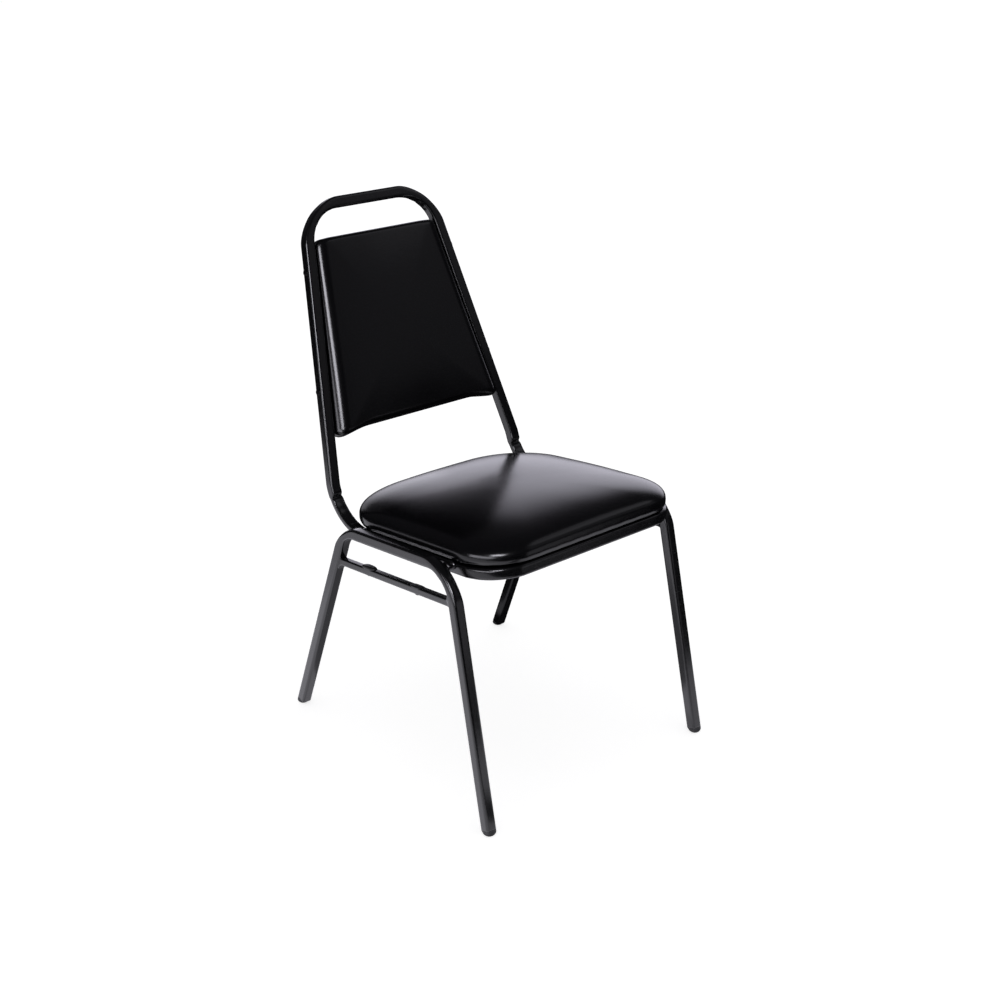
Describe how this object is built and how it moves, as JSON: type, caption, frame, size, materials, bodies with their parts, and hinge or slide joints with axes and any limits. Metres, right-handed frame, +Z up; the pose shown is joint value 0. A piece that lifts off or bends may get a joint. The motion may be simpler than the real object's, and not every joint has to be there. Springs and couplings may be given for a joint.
{
  "type": "stacking chair",
  "caption": "Armless stacking chair with a square steel tube frame, open trapezoid back, padded vinyl seat and back pad, side stretchers with stacking bumpers and plastic floor glides.",
  "frame": {"origin": "centre of the chair's bounding box on the floor plane, under the seat", "axes": "+Z up, -Y towards the front of the seat, +X across the chair towards the left hand of a seated person"},
  "size_m": [0.5154, 0.6597, 0.933],
  "materials": {
    "frame_paint": "black powder coat, semi-gloss",
    "glide_plastic": "black polypropylene",
    "bumper_plastic": "black moulded plastic",
    "plywood": "sanded plywood",
    "foam": "open cell polyurethane foam",
    "vinyl": "black upholstery vinyl, fine leather grain",
    "dust_cloth": "black spunbonded dust cover cloth",
    "zinc_steel": "zinc plated",
    "black_screw": "black coated steel"
  },
  "bodies": {
    "root": {"seat_back_frame": "frame_paint", "seat_brace_front": "frame_paint", "seat_brace_rear": "frame_paint", "leg_frame_right": "frame_paint", "leg_frame_left": "frame_paint", "stretcher_right": "frame_paint", "stretcher_left": "frame_paint", "frame_pins_right": "frame_paint", "frame_pins_left": "frame_paint", "glide_front_right": "glide_plastic", "glide_front_left": "glide_plastic", "glide_rear_right": "glide_plastic", "glide_rear_left": "glide_plastic", "bumper_front_right": "bumper_plastic", "bumper_front_left": "bumper_plastic", "bumper_rear_right": "bumper_plastic", "bumper_rear_left": "bumper_plastic", "seat_board": "plywood", "seat_foam": "foam", "seat_cover": "vinyl", "seat_dust_cover": "dust_cloth", "seat_screws": "zinc_steel", "seat_washers": "zinc_steel", "seat_tee_nuts": "zinc_steel", "seat_staples": "zinc_steel", "back_board": "plywood", "back_foam": "foam", "back_cover": "vinyl", "back_rear_cover": "vinyl", "back_screws": "black_screw", "back_inserts": "zinc_steel"}
  },
  "joints": []
}
